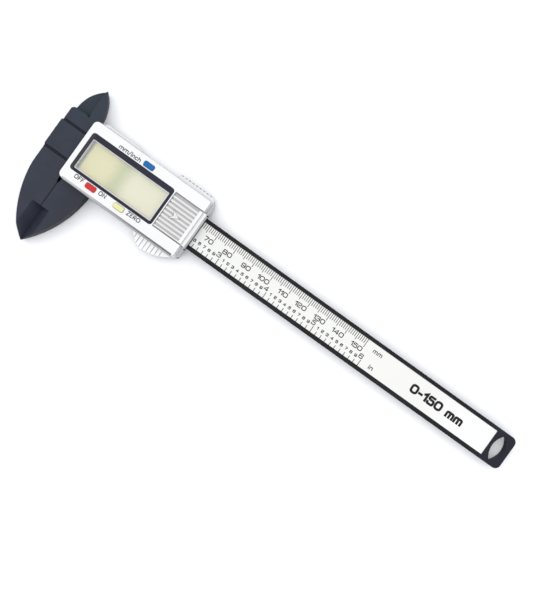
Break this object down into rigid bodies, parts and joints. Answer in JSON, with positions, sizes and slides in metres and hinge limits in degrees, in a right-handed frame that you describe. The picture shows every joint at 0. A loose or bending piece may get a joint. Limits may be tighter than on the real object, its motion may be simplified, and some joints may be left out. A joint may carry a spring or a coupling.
{
  "type": "digital caliper",
  "caption": "Digital sliding caliper with inside and outside jaws, printed scale beam, display housing with push buttons and a sliding battery door.",
  "frame": {"origin": "under the middle of the closed caliper's length and height, on the plane of its rear face; the fixed jaw's measuring face, the scale's zero, is at x = -0.1071 m and the beam's centreline at y = 0.0097 m", "axes": "+X along the beam, away from the jaws; +Y across the beam, towards the inside jaws; +Z out of the display"},
  "size_m": [0.2434, 0.075, 0.0146],
  "materials": {
    "jaw_plastic": "satin, fibre-filled",
    "silver_paint": "fine silver paint on plastic",
    "label_film": "printed polyester film",
    "circuit_board": "solder mask",
    "window_clear": "clear acrylic",
    "lcd_glass": "reflective display",
    "holder_black": "satin",
    "zebra_rubber": "matte",
    "epoxy_black": "gloss",
    "steel": "bright plated",
    "spring_bronze": "satin",
    "ceramic_tan": "matte",
    "button_blue": "satin",
    "button_red": "satin",
    "button_yellow": "satin"
  },
  "bodies": {
    "beam": {"main_beam": "jaw_plastic", "scale_strip": "circuit_board", "ruler_label": "label_film"},
    "slider": {"slider_jaw": "jaw_plastic", "grip_frame": "silver_paint", "front_cover": "silver_paint", "display_window": "window_clear", "lcd_holder": "holder_black", "lcd_panel": "lcd_glass", "zebra_upper": "zebra_rubber", "zebra_lower": "zebra_rubber", "main_board": "circuit_board", "chip_cover": "epoxy_black", "battery_cell": "steel", "contact_positive": "steel", "contact_negative": "steel", "gib_spring": "spring_bronze", "capacitor_1": "ceramic_tan", "capacitor_2": "ceramic_tan", "dome_units": "steel", "dome_power": "steel", "dome_zero": "steel", "case_screw_1": "steel", "case_screw_2": "steel", "case_screw_3": "steel", "case_screw_4": "steel", "board_screw_1": "steel", "board_screw_2": "steel"},
    "battery_door": {"battery_cover": "silver_paint"},
    "units_button": {"button_units": "button_blue"},
    "power_button": {"button_power": "button_red"},
    "zero_button": {"button_zero": "button_yellow"}
  },
  "joints": [
    {"name": "jaw_slide", "type": "slide", "parent": "beam", "child": "slider", "axis": [1, 0, 0], "range_m": [0, 0.152]},
    {"name": "battery_door_slide", "type": "slide", "parent": "slider", "child": "battery_door", "axis": [1, 0, 0], "range_m": [0, 0.018]},
    {"name": "units_press", "type": "slide", "parent": "slider", "child": "units_button", "axis": [0, 0, -1], "range_m": [0, 0.0005], "stiffness_N_per_m": 2500, "springref_m": -0.0001},
    {"name": "power_press", "type": "slide", "parent": "slider", "child": "power_button", "axis": [0, 0, -1], "range_m": [0, 0.0005], "stiffness_N_per_m": 2500, "springref_m": -0.0001},
    {"name": "zero_press", "type": "slide", "parent": "slider", "child": "zero_button", "axis": [0, 0, -1], "range_m": [0, 0.0005], "stiffness_N_per_m": 2500, "springref_m": -0.0001}
  ]
}
